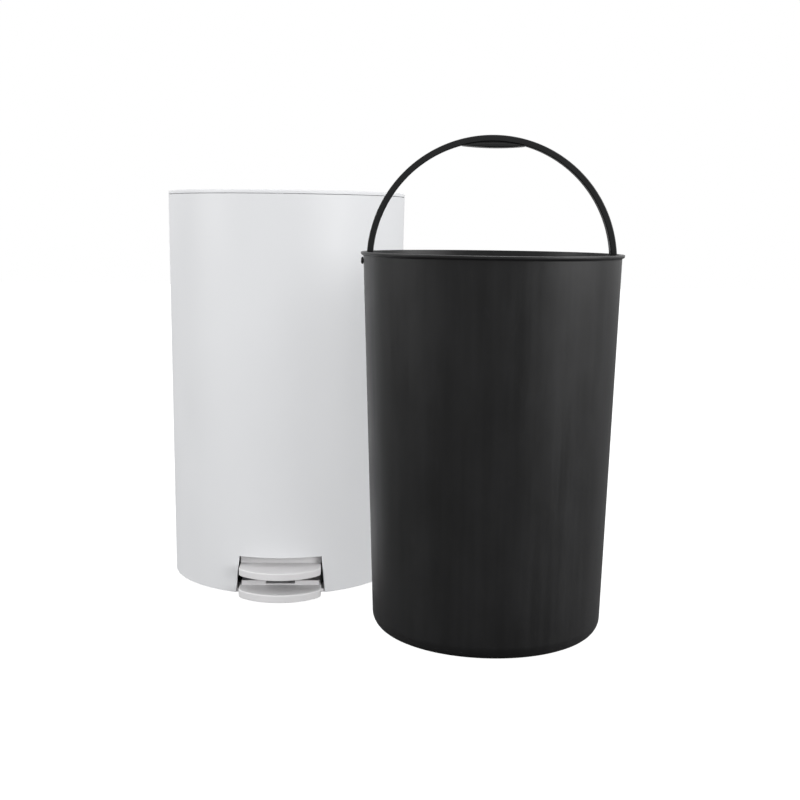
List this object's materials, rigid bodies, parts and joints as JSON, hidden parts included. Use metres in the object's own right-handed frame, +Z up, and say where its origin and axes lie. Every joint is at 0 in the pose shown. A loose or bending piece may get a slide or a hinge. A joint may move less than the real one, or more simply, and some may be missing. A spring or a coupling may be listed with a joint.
{
  "type": "pedal trash can",
  "caption": "Round pedal trash can with a hinged flat lid, a foot step that lifts it by a push rod, and a lift-out bucket with a bail handle standing beside it.",
  "frame": {"origin": "centre of the can's base, on the floor that the can and its bucket stand on", "axes": "+Z up, -Y towards the front, where the pedal is, and +X to the right of someone who faces the front"},
  "size_m": [0.4415, 0.4715, 0.4531],
  "materials": {
    "white_pp": "satin moulded polypropylene, fine mould grain",
    "grey_pp": "matt moulded polypropylene, a little greyer than the shell",
    "black_pp": "matt moulded polypropylene with faint flow marks",
    "zinc_steel": "bright zinc plated steel",
    "rubber": "matt black rubber",
    "clear_bumper": "soft translucent elastomer"
  },
  "bodies": {
    "can": {"outer_shell": "white_pp", "base": "grey_pp", "lower_step": "grey_pp", "anti_slip_ring": "rubber", "pivot_pin": "zinc_steel", "pivot_clip": "zinc_steel", "hinge_housing": "white_pp", "hinge_pin": "zinc_steel", "housing_screws": "zinc_steel", "rod_guide_lower": "grey_pp", "rod_guide_upper": "grey_pp"},
    "lid": {"lid": "white_pp", "lid_hinge_arm": "white_pp", "lid_screws": "zinc_steel", "lid_bumper_1": "clear_bumper", "lid_bumper_2": "clear_bumper", "lid_bumper_3": "clear_bumper"},
    "pedal": {"pedal_tread": "grey_pp", "pedal_lever": "zinc_steel", "tread_screws": "zinc_steel"},
    "rod": {"push_rod": "zinc_steel", "rod_caps": "black_pp"},
    "bucket": {"bucket": "black_pp"},
    "bail": {"bail": "black_pp", "bail_rivet_left": "black_pp", "bail_rivet_right": "black_pp"}
  },
  "joints": [
    {"name": "lid_hinge", "type": "hinge", "parent": "can", "child": "lid", "pos_m": [0, 0.1382, 0.386], "axis": [-1, 0, 0], "range_deg": [0, 80]},
    {"name": "pedal_pivot", "type": "hinge", "parent": "can", "child": "pedal", "pos_m": [0, -0.036, 0.0155], "axis": [1, 0, 0], "range_deg": [0, 7.08]},
    {"name": "rod_slide", "type": "slide", "parent": "can", "child": "rod", "axis": [0, 0.037, 0.9993], "range_m": [0, 0.01761]},
    {"name": "bucket_lift", "type": "slide", "parent": "can", "child": "bucket", "axis": [0, 0, 1], "range_m": [0, 0.45]},
    {"name": "bail_swing", "type": "hinge", "parent": "bucket", "child": "bail", "pos_m": [0.197, -0.204, 0.3388], "axis": [1, 0, 0], "range_deg": [-90, 90]}
  ],
  "couplings": [
    {"joint": "pedal_pivot", "follows": "lid_hinge", "ratio": 0.088375},
    {"joint": "rod_slide", "follows": "lid_hinge", "m_per_rad": 0.012605}
  ]
}
